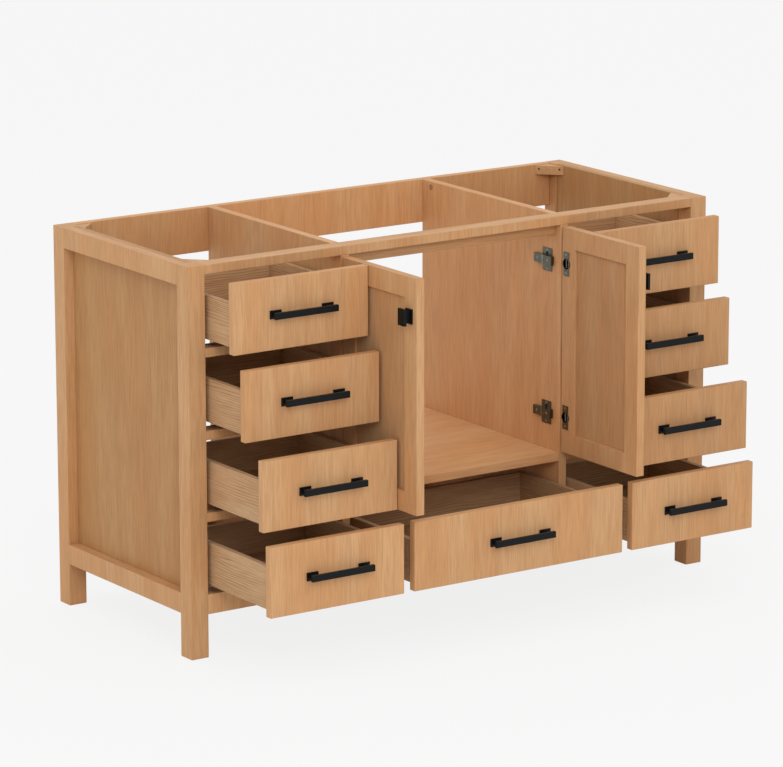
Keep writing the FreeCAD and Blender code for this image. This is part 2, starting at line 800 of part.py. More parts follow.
# Cabinet halves of the hinges: a winged plate on the partition and an arm that reaches forward.
# The arm stops short of the closed door and of the cup's flange on it.
ARM_NOSE_Y = f"({FRONT_Y} + {THICK} + Sizes.flange_thickness + Sizes.arm_door_gap)"
hinge_parts = []
for index, z in enumerate(cup_heights, start=1):
    plate_x = f"(-{CENTRE_X})"
    plate = board(
        f"hinge_plate_{index}",
        size("plate_thickness"),
        size("plate_width"),
        size("plate_height"),
        (plate_x, f"({ARM_NOSE_Y} + Sizes.plate_setback)", f"({z} - Sizes.plate_height / 2)"),
        "Sizes.ease / 4",
    )
    arm_points = [
        (size("plate_thickness"), "0"),
        (size("arm_nose_thickness"), "0"),
        (size("arm_nose_thickness"), size("arm_nose_length")),
        (size("arm_thickness"), "(Sizes.arm_nose_length + Sizes.plate_setback)"),
        (size("arm_thickness"), size("arm_length")),
        (size("plate_thickness"), size("arm_length")),
    ]
    arm_corner = (plate_x, ARM_NOSE_Y, f"({z} - Sizes.arm_height / 2)")
    arm = prism(f"hinge_arm_{index}", arm_points, size("arm_height"), arm_corner)
    hinge_parts += [plate, arm]
keep("hinge_arms", both_sides("hinge_arms", hinge_parts))

# Door knob on the outer face: base plate, stem and a flat head.
knob = doc.addObject("PartDesign::Body", "door_left_knob")
STEM_END = "(Sizes.knob_reach - Sizes.knob_head_thickness)"
knob_parts = (
    ("base", "0", size("knob_base_thickness")),
    ("stem", size("knob_base_thickness"), STEM_END),
    ("head", STEM_END, size("knob_reach")),
)
for part_name, near, far in knob_parts:
    wide = size(f"knob_{part_name}_width")
    high = size(f"knob_{part_name}_height")
    added_box(
        knob,
        f"knob_{part_name}",
        f"({far} - {near})",
        wide,
        high,
        (f"(-{far})", f"(-{wide} / 2)", f"(-{high} / 2)"),
    )
place(
    knob,
    DOOR_X,
    f"({DOOR_Y} + Sizes.knob_edge_distance)",
    f"({DOOR_Z} + {DOOR_HEIGHT} - Sizes.knob_drop)",
)

left_door = (
    ("frame", door_frame),
    ("panel", door_panel),
    ("hinge_cups", hinge_cups),
    ("knob", knob),
)
for part_name, piece in left_door:
    twin = mirrored(f"door_right_{part_name}_twin", piece)
    keep(f"door_left_{part_name}", piece)
    keep(f"door_right_{part_name}", twin)

doc.recompute()

# Nothing is written unless every object is sound.
faults = [item.Name for item in doc.Objects if {"Invalid", "Error"} & set(item.State)]
for name, piece in nodes.items():
    if piece.Shape.isNull() or not piece.Shape.isValid():
        faults.append(name)
if faults:
    raise RuntimeError(f"unsound objects: {faults}")

os.makedirs("parts", exist_ok=True)
for name, piece in nodes.items():
    piece.Shape.exportStep(f"parts/{name}.step")
    print(name, len(piece.Shape.Solids), "solids", round(piece.Shape.Volume), "mm3")
print(len(nodes), "nodes")
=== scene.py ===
# %% [markdown]
# # A bathroom vanity cabinet in oak veneer
#
# This file dresses a finished cabinet model for its picture. The boards, runners, hinges and handles come
# from the construction model as a fixed frame; here they get their wood and metal, the small fixings that
# are too fine for that model, a studio to stand in and a camera. Everything is in metres, with X along
# the front, Y to the back and Z up, and the floor at zero.

# %% Load the cabinet
import math

import bmesh
import bpy
from mathutils import Matrix, Vector


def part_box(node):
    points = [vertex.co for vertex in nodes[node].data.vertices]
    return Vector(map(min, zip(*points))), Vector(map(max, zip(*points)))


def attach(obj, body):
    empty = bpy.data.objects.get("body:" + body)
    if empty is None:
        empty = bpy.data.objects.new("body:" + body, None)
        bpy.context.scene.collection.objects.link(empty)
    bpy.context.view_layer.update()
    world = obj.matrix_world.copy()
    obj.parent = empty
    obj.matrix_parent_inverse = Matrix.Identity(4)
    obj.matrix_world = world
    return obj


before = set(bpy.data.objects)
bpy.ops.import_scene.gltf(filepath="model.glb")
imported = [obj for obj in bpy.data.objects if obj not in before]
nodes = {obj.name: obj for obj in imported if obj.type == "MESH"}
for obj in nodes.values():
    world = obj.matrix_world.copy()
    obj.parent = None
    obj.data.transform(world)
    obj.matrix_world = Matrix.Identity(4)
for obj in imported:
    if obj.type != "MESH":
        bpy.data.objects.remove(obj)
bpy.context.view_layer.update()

print("cabinet pieces:", len(nodes))

# %% [markdown]
# ## The camera
#
# A long lens from a few metres away keeps upright boards upright, as furniture pictures do. The camera
# stands in front and to the left, a little above head height, and tips down, so that the front, the left
# side and the open top all show. Turning is done in the order a person would: turn to face the cabinet,
# tip down, then level the camera by a hair.

# %% Stand the camera in front and to the left
STAND = Vector((-5.487, -8.061, 2.763))
TURN_RIGHT = math.radians(34.328)
TIP_DOWN = math.radians(13.295)
LEVEL = math.radians(-0.095)

camera_data = bpy.data.cameras.new("camera")
camera_data.sensor_width = 36.0
camera_data.lens = 206.19
camera_data.clip_end = 200.0
camera = bpy.data.objects.new("camera", camera_data)
bpy.context.scene.collection.objects.link(camera)
facing = Matrix.Rotation(-TURN_RIGHT, 4, "Z")
tipped = Matrix.Rotation(math.radians(90) - TIP_DOWN, 4, "X")
levelled = Matrix.Rotation(LEVEL, 4, "Z")
camera.matrix_world = Matrix.Translation(STAND) @ facing @ tipped @ levelled
bpy.context.scene.camera = camera
print("camera is", round((STAND - Vector((0, 0, 0.43))).length, 2), "m from the middle of the cabinet")

# %% [markdown]
# ## Helpers for building materials
#
# A material is a small graph of nodes. Writing every link by hand is long, so a few helpers do it: one
# adds a node and fills its sockets, some do sums and mixes, two make a reusable group and place it in a
# material, and one turns a colour written as on a screen into light. A socket that is given a plain
# number keeps it as its own value.

# %% Node helpers
def add(tree, kind, inputs=None, **settings):
    """Add a node, set its options, and fill its inputs with values or links."""
    node = tree.nodes.new(kind)
    for key, value in settings.items():
        setattr(node, key, value)
    for key, value in (inputs or {}).items():
        if isinstance(value, bpy.types.NodeSocket):
            tree.links.new(value, node.inputs[key])
        else:
            node.inputs[key].default_value = value
    return node


def maths(tree, operation, first, second=0.0, clamp=False):
    """One sum on two numbers or sockets."""
    node = add(tree, "ShaderNodeMath", {0: first, 1: second}, operation=operation, use_clamp=clamp)
    return node.outputs[0]


def vectors(tree, operation, first, second):
    """One sum on two vectors."""
    node = add(tree, "ShaderNodeVectorMath", {0: first, 1: second}, operation=operation)
    return node.outputs["Value"] if operation == "DOT_PRODUCT" else node.outputs["Vector"]


def scaled(tree, vector, factor):
    """A vector times a number."""
    node = add(tree, "ShaderNodeVectorMath", {0: vector, "Scale": factor}, operation="SCALE")
    return node.outputs["Vector"]


def spread(tree, value, low, high, out_low=0.0, out_high=1.0):
    """Stretch the part of a value between low and high over a new range, with soft ends."""
    inputs = {"Value": value, "From Min": low, "From Max": high, "To Min": out_low, "To Max": out_high}
    return add(tree, "ShaderNodeMapRange", inputs, interpolation_type="SMOOTHSTEP").outputs["Result"]


def blend(tree, factor, first, second, way="MIX"):
    """Mix two colours."""
    node = add(tree, "ShaderNodeMix", {"Factor": factor}, data_type="RGBA", blend_type=way)
    for socket, value in ((node.inputs[6], first), (node.inputs[7], second)):
        if isinstance(value, bpy.types.NodeSocket):
            tree.links.new(value, socket)
        else:
            socket.default_value = value
    return node.outputs[2]


def new_group(name, inputs, outputs):
    """A node group with named sockets; returns the group, its input node and its output node."""
    group = bpy.data.node_groups.new(name, "ShaderNodeTree")
    for title, kind, value in inputs:
        socket = group.interface.new_socket(title, in_out="INPUT", socket_type=f"NodeSocket{kind}")
        socket.default_value = value
    for title, kind in outputs:
        group.interface.new_socket(title, in_out="OUTPUT", socket_type=f"NodeSocket{kind}")
    return group, group.nodes.new("NodeGroupInput"), group.nodes.new("NodeGroupOutput")


def place_group(tree, group, inputs):
    """Put a group into a material with its own values."""
    node = tree.nodes.new("ShaderNodeGroup")
    node.node_tree = group
    for key, value in inputs.items():
        if isinstance(value, bpy.types.NodeSocket):
            tree.links.new(value, node.inputs[key])
        else:
            node.inputs[key].default_value = value
    return node


def colour(red, green, blue):
    """A colour written as on a screen, 0 to 255, turned into the linear light that shaders use."""
    def linear(channel):
        share = channel / 255
        return share / 12.92 if share <= 0.04045 else ((share + 0.055) / 1.055) ** 2.4
    return (linear(red), linear(green), linear(blue), 1.0)


# %% [markdown]
# ## The studio
#
# The cabinet stands on a very large pale floor with no visible edge. Real studios get a plain white
# ground with far more light on the backdrop than on the product; a shader can say it directly. To the
# camera, and in reflections, most of the floor is one even pale tone, and the rest is an ordinary matt
# floor, so the cabinet's shadow still lies on it. The sky does the same: it lights softly from everywhere
# and looks as pale as the floor.

# %% Floor and sky
PALE = colour(247, 247, 247)
FLOOR_SIZE = 120.0
EVEN_SHARE = 0.90
SKY_STRENGTH = 0.84


def seen_directly(tree):
    """1 for the camera, for reflections and through glass; 0 for light that bounces off matt surfaces."""
    path = add(tree, "ShaderNodeLightPath")
    both = maths(tree, "MAXIMUM", path.outputs["Is Camera Ray"], path.outputs["Is Glossy Ray"])
    return maths(tree, "MAXIMUM", both, path.outputs["Is Transmission Ray"])


floor_mesh = bpy.data.meshes.new("studio_floor")
half = FLOOR_SIZE / 2
corners = [(-half, -half, 0), (half, -half, 0), (half, half, 0), (-half, half, 0)]
floor_mesh.from_pydata(corners, [], [(0, 1, 2, 3)])
floor = bpy.data.objects.new("studio_floor", floor_mesh)
bpy.context.scene.collection.objects.link(floor)

floor_finish = bpy.data.materials.new("pale_floor")
floor_finish.use_nodes = True
tree = floor_finish.node_tree
tree.nodes.clear()
matt = add(tree, "ShaderNodeBsdfDiffuse", {"Color": PALE})
even = add(tree, "ShaderNodeEmission", {"Color": colour(248, 248, 248), "Strength": 1.0})
share = maths(tree, "MULTIPLY", seen_directly(tree), EVEN_SHARE)
ground = add(tree, "ShaderNodeMixShader", {0: share, 1: matt.outputs[0], 2: even.outputs[0]})
add(tree, "ShaderNodeOutputMaterial", {"Surface": ground.outputs[0]})
floor_mesh.materials.append(floor_finish)

sky = bpy.data.worlds.new("soft_sky")
bpy.context.scene.world = sky
sky.use_nodes = True
tree = sky.node_tree
tree.nodes.clear()
lighting = add(tree, "ShaderNodeBackground", {"Color": (1, 1, 1, 1), "Strength": SKY_STRENGTH})
looks = add(tree, "ShaderNodeBackground", {"Color": PALE, "Strength": 1.0})
by_path = {0: seen_directly(tree), 1: lighting.outputs[0], 2: looks.outputs[0]}
above = add(tree, "ShaderNodeMixShader", by_path)
add(tree, "ShaderNodeOutputWorld", {"Surface": above.outputs[0]})
print("floor", FLOOR_SIZE, "m square, sky strength", SKY_STRENGTH)

# %% [markdown]
# ## The lamps
#
# Two big square lamps do the work of softboxes: a main one high in front and to the left, and a weaker
# one overhead that lifts the rims and the inside of the open top. Large lamps give shadows with no hard
# edge. Each lamp is turned with the same trick as the camera: a lamp shines along its own minus Z.

# %% Softboxes
def softbox(name, where, aim, side, watts):
    """A square area lamp at one point that shines at another."""
    data = bpy.data.lights.new(name, "AREA")
    data.shape = "SQUARE"
    data.size = side
    data.energy = watts
    lamp = bpy.data.objects.new(name, data)
    bpy.context.scene.collection.objects.link(lamp)
    turned = (aim - where).to_track_quat("-Z", "Y").to_matrix().to_4x4()
    lamp.matrix_world = Matrix.Translation(where) @ turned


CABINET_MIDDLE = Vector((0.0, 0.0, 0.45))
softbox("main_softbox", Vector((-3.2, -5.6, 4.0)), CABINET_MIDDLE, 2.6, 108.0)
softbox("top_softbox", Vector((0.3, -0.4, 4.6)), CABINET_MIDDLE, 2.4, 16.0)
bpy.context.scene.view_settings.view_transform = "Standard"

# %% [markdown]
# ## Wood grain as a group
#
# Veneer is a thin slice of a log. Its look is the same three things at different sizes: slow bands where
# the tree grew faster or slower, fine lines that are the edges of the yearly rings, and tiny open pores.
# All of them are long along the grain and narrow across it. So one noise pattern is enough for each, if
# the space it is read in is squeezed along the grain first. The first group does that squeeze for any
# direction.

# %% Squeeze space along the grain
squeeze, enter, leave = new_group(
    "Squeeze along grain",
    [("Position", "Vector", (0, 0, 0)), ("Grain", "Vector", (0, 0, 1)), ("Keep", "Float", 0.05)],
    [("Position", "Vector")],
)
along = vectors(squeeze, "DOT_PRODUCT", enter.outputs["Position"], enter.outputs["Grain"])
drop = maths(squeeze, "MULTIPLY", along, maths(squeeze, "SUBTRACT", 1.0, enter.outputs["Keep"]))
taken = scaled(squeeze, enter.outputs["Grain"], drop)
squeeze.links.new(vectors(squeeze, "SUBTRACT", enter.outputs["Position"], taken), leave.inputs["Position"])

# %% [markdown]
# The second group is the wood itself. It takes a position, the direction of the grain and a board number,
# so that no two boards show the same piece of the log. It gives out a colour, a height for the bump and a
# mask of the pores. The colours are inputs, because the drawer boxes are of a paler wood than the fronts.
# Yearly rings are a sine wave across the grain whose phase drifts along it, so that the lines bend a
# little and never close.

# %% The wood itself
wood, enter, leave = new_group(
    "Oak grain",
    [
        ("Position", "Vector", (0, 0, 0)),
        ("Grain", "Vector", (0, 0, 1)),
        ("Board", "Float", 0.0),
        ("Light", "Color", (0.6, 0.33, 0.16, 1)),
        ("Dark", "Color", (0.45, 0.22, 0.1, 1)),
        ("Warm", "Color", (0.6, 0.3, 0.12, 1)),
        ("Line Spacing", "Float", 0.0032),
        ("Lines", "Float", 0.42),
        ("Bands", "Float", 0.2),
        ("Wander", "Float", 0.004),
        ("Pores", "Float", 0.3),
        ("Rings", "Float", 0.12),
        ("Ring Spacing", "Float", 0.007),
    ],
    [("Colour", "Color"), ("Height", "Float"), ("Pores", "Float")],
)
socket = enter.outputs
apart = add(wood, "ShaderNodeCombineXYZ", {
    "X": maths(wood, "MULTIPLY", socket["Board"], 1.37),
    "Y": maths(wood, "MULTIPLY", socket["Board"], 2.11),
    "Z": maths(wood, "MULTIPLY", socket["Board"], 3.73),
}).outputs[0]
own_place = vectors(wood, "ADD", socket["Position"], apart)


def squeezed(place, keep):
    """A position squeezed along this wood's grain."""
    return place_group(wood, squeeze, {"Position": place, "Grain": socket["Grain"], "Keep": keep}).outputs[0]


def noise(place, scale, detail=2.0, rough=0.5):
    """A smooth random value, 0 to 1."""
    inputs = {"Vector": place, "Scale": scale, "Detail": detail, "Roughness": rough}
    return add(wood, "ShaderNodeTexNoise", inputs).outputs["Fac"]


sway = maths(wood, "SUBTRACT", noise(squeezed(own_place, 0.22), 9.0), 0.5)
shift = maths(wood, "MULTIPLY", sway, socket["Wander"])
aside = add(wood, "ShaderNodeCombineXYZ", {0: shift, 1: shift, 2: shift}).outputs[0]
swayed = vectors(wood, "ADD", own_place, aside)

line_scale = maths(wood, "DIVIDE", 1.0, socket["Line Spacing"])
coarse = noise(squeezed(swayed, 0.10), maths(wood, "MULTIPLY", line_scale, 0.5), 1.0)
fine = noise(squeezed(swayed, 0.042), line_scale, 3.0, 0.62)
both = maths(wood, "ADD", maths(wood, "MULTIPLY", coarse, 0.35), maths(wood, "MULTIPLY", fine, 0.65))
lines = spread(wood, both, 0.40, 0.62)
bands = spread(wood, noise(squeezed(own_place, 0.12), 34.0, 2.0), 0.36, 0.66)

across = vectors(wood, "DOT_PRODUCT", squeezed(own_place, 0.0), (1.0, 1.0, 1.0))
drift = maths(wood, "MULTIPLY", noise(squeezed(own_place, 0.14), 22.0, 2.0), 0.03)
turns = maths(wood, "DIVIDE", maths(wood, "ADD", across, drift), socket["Ring Spacing"])
wave = maths(wood, "SINE", maths(wood, "MULTIPLY", turns, math.tau))
strength = spread(wood, noise(squeezed(own_place, 0.2), 28.0, 1.0), 0.35, 0.62, 0.25, 1.0)
rings = maths(wood, "MULTIPLY", spread(wood, wave, 0.1, 0.98), strength)

hue = spread(wood, noise(squeezed(own_place, 0.15), 13.0, 1.0), 0.38, 0.62)
dashes = noise(squeezed(swayed, 0.018), 950.0, 1.0)
pores = maths(wood, "MULTIPLY", spread(wood, dashes, 0.60, 0.72), socket["Pores"])

streaks = maths(
    wood, "ADD",
    maths(wood, "MULTIPLY", lines, socket["Lines"]),
    maths(wood, "MULTIPLY", bands, socket["Bands"]),
)
dark_share = maths(wood, "ADD", streaks, maths(wood, "MULTIPLY", rings, socket["Rings"]), clamp=True)
warmed = blend(wood, maths(wood, "MULTIPLY", hue, 0.75), socket["Light"], socket["Warm"])
toned = blend(wood, dark_share, warmed, socket["Dark"])
deep = blend(wood, 1.0, socket["Dark"], socket["Dark"], "MULTIPLY")
pored = blend(wood, maths(wood, "MULTIPLY", pores, 0.55), toned, deep)
height = maths(wood, "SUBTRACT", maths(wood, "MULTIPLY", lines, -0.35), pores)
wood.links.new(pored, leave.inputs["Colour"])
wood.links.new(height, leave.inputs["Height"])
wood.links.new(pores, leave.inputs["Pores"])
print("wood group has", len(wood.nodes), "nodes")

# %% [markdown]
# ## Which way the grain runs
#
# A veneered board is faced on its broad sides, and its narrow top edge gets a strip whose grain follows
# the edge. A solid pattern knows nothing of that, so a third group looks at which way a surface faces and
# gives the direction for the sides, for the fronts and backs, and for the tops.

# %% Grain by the way a surface faces
direction, enter, leave = new_group(
    "Grain by facing",
    [
        ("Normal", "Vector", (0, 0, 1)),
        ("On Sides", "Vector", (0, 0, 1)),
        ("On Fronts", "Vector", (0, 0, 1)),
        ("On Tops", "Vector", (1, 0, 0)),
    ],
    [("Grain", "Vector")],
)
facing = add(direction, "ShaderNodeSeparateXYZ", {0: enter.outputs["Normal"]}).outputs


def faces(axis):
    """1 where a surface faces along an axis, either way."""
    return maths(direction, "GREATER_THAN", maths(direction, "ABSOLUTE", facing[axis]), 0.72)


def swap(now, other, where):
    """Take the other direction where the mask is 1."""
    difference = vectors(direction, "SUBTRACT", other, now)
    return vectors(direction, "ADD", now, scaled(direction, difference, where))


on_front = swap(enter.outputs["On Sides"], enter.outputs["On Fronts"], faces("Y"))
direction.links.new(swap(on_front, enter.outputs["On Tops"], faces("Z")), leave.inputs["Grain"])

# %% [markdown]
# ## Oak veneer
#
# The lacquer over the veneer is satin: it softens reflections but keeps a faint sheen. One function builds
# the finish for any board. It gives each board its own number, so its own part of the log, and a shift of
# tone. On most boards that shift is the board's own tone, because real boards never match exactly; on some
# boards it is painted light or painted shade, as noted where the levels are listed. The bevel node rounds the
# light at the edges, as sanding does.

# %% The veneer finish
UP = (0.0, 0.0, 1.0)
ALONG_FRONT = (1.0, 0.0, 0.0)
TO_THE_BACK = (0.0, 1.0, 0.0)
OAK_LIGHT = (209, 164, 118)
OAK_DARK = (183, 135, 92)
OAK_WARM = (206, 152, 103)
SANDED = 0.0011
SATIN = 0.14
PORE_DEPTH = 0.0004


def shade(tone, factor):
    """A screen colour made lighter or darker."""
    return colour(*(min(255, channel * factor) for channel in tone))


def wood_finish(name, board, sides=UP, fronts=UP, tops=ALONG_FRONT, tones=(OAK_LIGHT, OAK_DARK, OAK_WARM),
                level=1.0, roughness=0.5, **grain):
    """A lacquered wood; its grain direction is given for its sides, its fronts and its tops."""
    finish = bpy.data.materials.new(name)
    finish.use_nodes = True
    tree = finish.node_tree
    shader = tree.nodes["Principled BSDF"]
    where = add(tree, "ShaderNodeTexCoord")
    shader.inputs["Specular IOR Level"].default_value = SATIN
    run = place_group(tree, direction, {
        "Normal": where.outputs["Normal"], "On Sides": sides, "On Fronts": fronts, "On Tops": tops,
    })
    light, dark, warm = (shade(tone, level) for tone in tones)
    oak = place_group(tree, wood, {
        "Position": where.outputs["Object"], "Grain": run.outputs["Grain"], "Board": board,
        "Light": light, "Dark": dark, "Warm": warm, **grain,
    })
    tree.links.new(oak.outputs["Colour"], shader.inputs["Base Color"])
    rough = add(tree, "ShaderNodeMapRange", {
        "Value": oak.outputs["Pores"], "To Min": roughness, "To Max": roughness + 0.25,
    })
    tree.links.new(rough.outputs["Result"], shader.inputs["Roughness"])
    rounded = add(tree, "ShaderNodeBevel", {"Radius": SANDED}, samples=4)
    bump = add(tree, "ShaderNodeBump", {
        "Strength": 0.25, "Distance": PORE_DEPTH,
        "Height": oak.outputs["Height"], "Normal": rounded.outputs["Normal"],
    })
    tree.links.new(bump.outputs["Normal"], shader.inputs["Normal"])
    return finish


def dress(node_name, finish):
    """Give a construction piece its finish in every slot."""
    mesh = nodes[node_name].data
    if not mesh.materials:
        mesh.materials.append(finish)
    for slot in range(len(mesh.materials)):
        mesh.materials[slot] = finish


# %% [markdown]
# ## Boards of the carcass
#
# Veneer is laid upright on everything that faces the room, even on the rails, so the lines run on from a
# rail into the drawer front below it. Only the floor of the middle compartment has its grain along the
# front. Top edges follow their own board.

# %% Dress the carcass
# The last number of each board is a tone level. Most levels are small differences of tone between boards. The
# back rails, the partitions and the compartment floor face into the open middle compartment and are made
# lighter, which is painted light. The door head strip is set back in the shadow of the top rail and is made
# darker, which is painted shade.
carcass = (
    ("post_front_left", 1, UP, ALONG_FRONT, 0.99),
    ("post_front_right", 2, UP, ALONG_FRONT, 0.99),
    ("post_back_left", 3, UP, ALONG_FRONT, 1.0),
    ("post_back_right", 4, UP, ALONG_FRONT, 0.99),
    ("front_top_rail", 5, UP, ALONG_FRONT, 1.0),
    ("front_bottom_rail", 6, UP, ALONG_FRONT, 1.035),
    ("door_head_strip", 15, ALONG_FRONT, ALONG_FRONT, 0.93),
    ("back_rails", 7, UP, ALONG_FRONT, 1.045),
    ("side_rails", 8, UP, TO_THE_BACK, 1.0),
    ("partitions", 10, UP, TO_THE_BACK, 1.03),
    ("compartment_floor", 11, ALONG_FRONT, ALONG_FRONT, 1.06),
    ("divider_rails", 12, UP, ALONG_FRONT, 1.0),
    ("bottom_board", 13, ALONG_FRONT, ALONG_FRONT, 0.95),
    ("corner_blocks", 14, ALONG_FRONT, ALONG_FRONT, 1.0),
)
for name, board, upright, tops, level in carcass:
    dress(name, wood_finish(f"oak_{name}", board, upright, upright, tops, level=level))
# The side panels are darker than the other boards. This is partly their own tone and partly painted shade of
# the recess between the side rails.
SIDE_PANEL_TONES_AND_SHADE = ((199, 152, 102), (172, 125, 79), (195, 141, 89))
dress("side_panels", wood_finish("oak_side_panels", 9, tops=TO_THE_BACK, tones=SIDE_PANEL_TONES_AND_SHADE, level=0.95))
print("carcass finishes:", len(carcass) + 1)

# %% [markdown]
# ## Drawer fronts and doors
#
# Nine fronts and two doors are the part of the cabinet that is seen first. They are cut one after another
# from the same sheets, so they match in colour and differ in detail. A list of small shifts, written down
# rather than drawn at random, gives the same cabinet every time. Most are tone differences between boards,
# but the first three fronts on the right are made darker as painted shade, and the door panels are made
# darker than their frames as painted shade.

# %% Dress the fronts and doors
# drawer_right_1 to drawer_right_3 are made darker as painted shade; the other shifts are the boards' own
# tone.
FRONT_TONE_AND_SHADE_LEVELS = {
    "drawer_left_1": 1.0, "drawer_left_2": 0.985, "drawer_left_3": 0.995, "drawer_left_4": 1.015,
    "drawer_right_1": 0.975, "drawer_right_2": 0.95, "drawer_right_3": 0.95, "drawer_right_4": 0.995,
    "drawer_centre": 1.0,
}
for board, (drawer, level) in enumerate(FRONT_TONE_AND_SHADE_LEVELS.items(), start=20):
    dress(f"{drawer}_front", wood_finish(f"oak_{drawer}_front", board, level=level))
for board, side in enumerate(("left", "right"), start=40):
    dress(f"door_{side}_frame", wood_finish(f"oak_door_{side}_frame", board, tops=TO_THE_BACK, level=0.99))
    # The panels are made darker than their frames, which is painted shade.
    panel_finish = wood_finish(f"oak_door_{side}_panel", board + 5, tops=TO_THE_BACK, level=0.93)
    dress(f"door_{side}_panel", panel_finish)

# %% [markdown]
# ## Drawer boxes
#
# The boxes are of a paler, cheaper wood, sliced flat, so its yearly rings show as strong lines that
# wander along the board. The same group makes it, with strong rings and weak lines. The grain of a box
# side runs front to back.

# %% Dress the drawer boxes
BOX_TONES = ((199, 163, 124), (158, 119, 83), (194, 153, 113))
# The centre box is made darker, which is painted shade inside the open drawer.
BOX_SHADE_LEVELS = {"drawer_centre": 0.9}
BOX_GRAIN = {
    "Line Spacing": 0.0026, "Lines": 0.3, "Bands": 0.1, "Wander": 0.01, "Rings": 0.62, "Ring Spacing": 0.0058,
}
for board, drawer in enumerate(FRONT_TONE_AND_SHADE_LEVELS, start=60):
    finish = wood_finish(
        f"plywood_{drawer}_box", board, sides=TO_THE_BACK, fronts=ALONG_FRONT, tops=TO_THE_BACK,
        tones=BOX_TONES, level=BOX_SHADE_LEVELS.get(drawer, 1.0), roughness=0.58, **BOX_GRAIN,
    )
    dress(f"{drawer}_box", finish)

# %% [markdown]
# ## Metals
#
# The handles are coated matt black, a coat thick enough to look faintly pebbled up close. The hinges are
# nickel-plated steel, and the runners galvanised steel with its cloudy crystals. The small screws are of
# bright steel and the cam locks of bronze-coloured zinc. One shared group gives all five their fine
# unevenness.

# %% A group for uneven metal
uneven, enter, leave = new_group(
    "Uneven metal",
    [("Position", "Vector", (0, 0, 0)), ("Grit", "Float", 2500.0), ("Cloud", "Float", 60.0)],
    [("Grit", "Float"), ("Cloud", "Float")],
)
for title, detail in (("Grit", 1.0), ("Cloud", 3.0)):
    inputs = {"Vector": enter.outputs["Position"], "Scale": enter.outputs[title], "Detail": detail}
    uneven.links.new(add(uneven, "ShaderNodeTexNoise", inputs).outputs["Fac"], leave.inputs[title])


def metal_finish(name, tones, metallic, specular, roughness, grit, cloud, bump_height, edge_radius):
    """A metal or coated metal whose colour and roughness vary a little over the surface."""
    finish = bpy.data.materials.new(name)
    finish.use_nodes = True
    tree = finish.node_tree
    shader = tree.nodes["Principled BSDF"]
    shader.inputs["Metallic"].default_value = metallic
    shader.inputs["Specular IOR Level"].default_value = specular
    where = add(tree, "ShaderNodeTexCoord")
    parts = place_group(tree, uneven, {"Position": where.outputs["Object"], "Grit": grit, "Cloud": cloud})
    light, dark = (colour(*tone) for tone in tones)
    tree.links.new(blend(tree, parts.outputs["Cloud"], light, dark), shader.inputs["Base Color"])
    tree.links.new(spread(tree, parts.outputs["Cloud"], 0.3, 0.7, *roughness), shader.inputs["Roughness"])
    rounded = add(tree, "ShaderNodeBevel", {"Radius": edge_radius}, samples=4)
    bump = add(tree, "ShaderNodeBump", {
        "Strength": 0.3, "Distance": bump_height,
        "Height": parts.outputs["Grit"], "Normal": rounded.outputs["Normal"],
    })
    tree.links.new(bump.outputs["Normal"], shader.inputs["Normal"])
    return finish


black = metal_finish(
    "matt_black_coat", tones=((15, 19, 21), (9, 12, 14)), metallic=0.0, specular=0.16,
    roughness=(0.34, 0.46), grit=2600.0, cloud=90.0, bump_height=0.00008, edge_radius=0.0006,
)
nickel = metal_finish(
    "nickel_plate", tones=((108, 106, 95), (72, 70, 61)), metallic=1.0, specular=0.5,
    roughness=(0.06, 0.15), grit=3200.0, cloud=120.0, bump_height=0.00003, edge_radius=0.0004,
)
bright = metal_finish(
    "bright_steel", tones=((150, 149, 142), (112, 111, 105)), metallic=1.0, specular=0.5,
    roughness=(0.14, 0.24), grit=3600.0, cloud=200.0, bump_height=0.00002, edge_radius=0.0002,
)
bronze = metal_finish(
    "bronze_zinc", tones=((190, 150, 116), (160, 122, 90)), metallic=0.6, specular=0.4,
    roughness=(0.4, 0.55), grit=2400.0, cloud=150.0, bump_height=0.00003, edge_radius=0.0003,
)
zinc = metal_finish(
    "galvanised_steel", tones=((172, 174, 174), (138, 141, 143)), metallic=1.0, specular=0.5,
    roughness=(0.34, 0.5), grit=1500.0, cloud=45.0, bump_height=0.00004, edge_radius=0.0004,
)
for name in nodes:
    if name.endswith(("_pull", "_knob")):
        dress(name, black)
    elif name.endswith("_runners"):
        dress(name, zinc)
    elif "hinge" in name:
        dress(name, nickel)
print("metals:", ", ".join(metal.name for metal in (black, nickel, bright, bronze, zinc)))

# %% [markdown]
# ## Screw heads and cam locks
#
# The construction model leaves out the small fixings, so they are made here. A screw head is a low disc
# with an eased rim and a cross-shaped recess for the driver; a cam lock, the round nut that pulls two
# boards together, is the same thing, wider and flatter. One function makes both. The top is the only
# tricky face: it is a round outline with a cross cut out of it, and filling between the two outlines
# leaves the hole open. The head is built looking up and then turned to face left or right.

# %% A head with a cross recess
ROUND_STEPS = 28
SIDEWAYS = math.radians(90)
HEAD_PROFILE = ((1, 0), (1, 0.5), (0.88, 1))
MOUTH = (0.62, 0.13)
BED = (0.50, 0.10)


def ring(mesh, radius, height):
    """A closed circle of points."""
    angles = (math.tau * step / ROUND_STEPS for step in range(ROUND_STEPS))
    return [mesh.verts.new((radius * math.cos(angle), radius * math.sin(angle), height)) for angle in angles]


def cross(mesh, reach, width, height):
    """The twelve corners of a cross."""
    corner = [(reach, -width), (reach, width), (width, width)]
    points = []
    for quarter in range(4):
        turn = Matrix.Rotation(math.tau * quarter / 4, 2)
        points += [turn @ Vector(place) for place in corner]
    return [mesh.verts.new((point.x, point.y, height)) for point in points]


def loop_edges(mesh, loop):
    """The edges that close a loop of points."""
    return [mesh.edges.new((loop[index - 1], loop[index])) for index in range(len(loop))]


def walls(mesh, lower, upper):
    """Upright faces between two loops."""
    for index in range(len(lower)):
        mesh.faces.new((lower[index - 1], lower[index], upper[index], upper[index - 1]))


